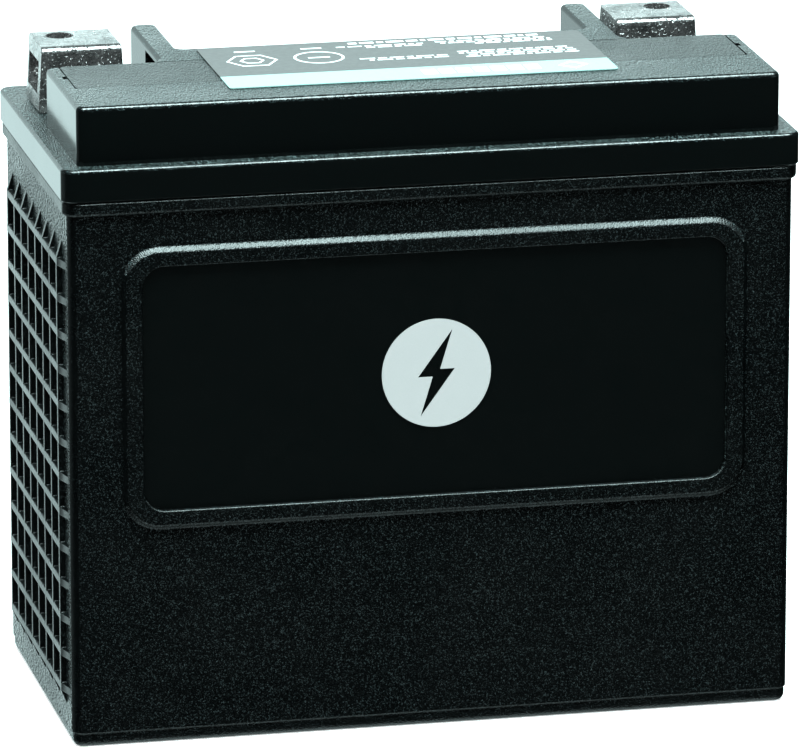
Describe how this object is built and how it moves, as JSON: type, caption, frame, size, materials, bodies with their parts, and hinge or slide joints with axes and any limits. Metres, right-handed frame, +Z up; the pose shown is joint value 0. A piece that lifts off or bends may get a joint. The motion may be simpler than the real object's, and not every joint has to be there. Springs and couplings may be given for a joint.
{
  "type": "motorcycle battery",
  "caption": "Sealed rectangular motorcycle battery with ribbed ends, a raised frame on its front and box lugs with nut windows at the back.",
  "frame": {"origin": "centre of the underside", "axes": "+X along the length, the face with the emblem looks along -Y and the terminals stand towards +Y, +Z up"},
  "size_m": [0.175, 0.087, 0.155],
  "materials": {
    "case_plastic": "fine-grained moulded black polypropylene",
    "cover_plastic": "grained tops, smoother upright faces",
    "vent_plate_plastic": "smooth satin black",
    "sealant": "dull black bead",
    "rubber": "matt black rubber",
    "epoxy": "cured black resin",
    "frit": "porous off-white sinter",
    "terminal_lead": "cast lead alloy, pale, finely pitted",
    "lead": "dull cast lead",
    "positive_plate": "dark brown lead dioxide paste",
    "negative_plate": "grey spongy lead paste",
    "glass_mat": "white felted glass fibre",
    "panel_film": "smooth gloss black film",
    "emblem_foil": "satin silver foil",
    "label_film": "satin printed film"
  },
  "bodies": {
    "battery": {"container": "case_plastic", "cover": "cover_plastic", "rim_sealant": "sealant", "vent_cover_plate": "vent_plate_plastic", "flame_arrestor_left": "frit", "flame_arrestor_right": "frit", "terminal_lug_left": "terminal_lead", "terminal_post_left": "lead", "post_seal_ring_left": "rubber", "post_epoxy_left": "epoxy", "terminal_lug_right": "terminal_lead", "terminal_post_right": "lead", "post_seal_ring_right": "rubber", "post_epoxy_right": "epoxy", "positive_plate_group_1": "positive_plate", "negative_plate_group_1": "negative_plate", "glass_mat_1": "glass_mat", "positive_plate_group_2": "positive_plate", "negative_plate_group_2": "negative_plate", "glass_mat_2": "glass_mat", "positive_plate_group_3": "positive_plate", "negative_plate_group_3": "negative_plate", "glass_mat_3": "glass_mat", "positive_plate_group_4": "positive_plate", "negative_plate_group_4": "negative_plate", "glass_mat_4": "glass_mat", "positive_plate_group_5": "positive_plate", "negative_plate_group_5": "negative_plate", "glass_mat_5": "glass_mat", "positive_plate_group_6": "positive_plate", "negative_plate_group_6": "negative_plate", "glass_mat_6": "glass_mat", "cell_connector_1": "lead", "cell_connector_2": "lead", "cell_connector_3": "lead", "cell_connector_4": "lead", "cell_connector_5": "lead", "front_panel_film": "panel_film", "rear_panel_film": "panel_film", "front_emblem": "emblem_foil", "top_label": "label_film"},
    "valve_1": {"valve_cap_1": "rubber"},
    "valve_2": {"valve_cap_2": "rubber"},
    "valve_3": {"valve_cap_3": "rubber"},
    "valve_4": {"valve_cap_4": "rubber"},
    "valve_5": {"valve_cap_5": "rubber"},
    "valve_6": {"valve_cap_6": "rubber"}
  },
  "joints": [
    {"name": "valve_lift_1", "type": "slide", "parent": "battery", "child": "valve_1", "axis": [0, 0, 1], "range_m": [0, 0.0009]},
    {"name": "valve_lift_2", "type": "slide", "parent": "battery", "child": "valve_2", "axis": [0, 0, 1], "range_m": [0, 0.0009]},
    {"name": "valve_lift_3", "type": "slide", "parent": "battery", "child": "valve_3", "axis": [0, 0, 1], "range_m": [0, 0.0009]},
    {"name": "valve_lift_4", "type": "slide", "parent": "battery", "child": "valve_4", "axis": [0, 0, 1], "range_m": [0, 0.0009]},
    {"name": "valve_lift_5", "type": "slide", "parent": "battery", "child": "valve_5", "axis": [0, 0, 1], "range_m": [0, 0.0009]},
    {"name": "valve_lift_6", "type": "slide", "parent": "battery", "child": "valve_6", "axis": [0, 0, 1], "range_m": [0, 0.0009]}
  ]
}
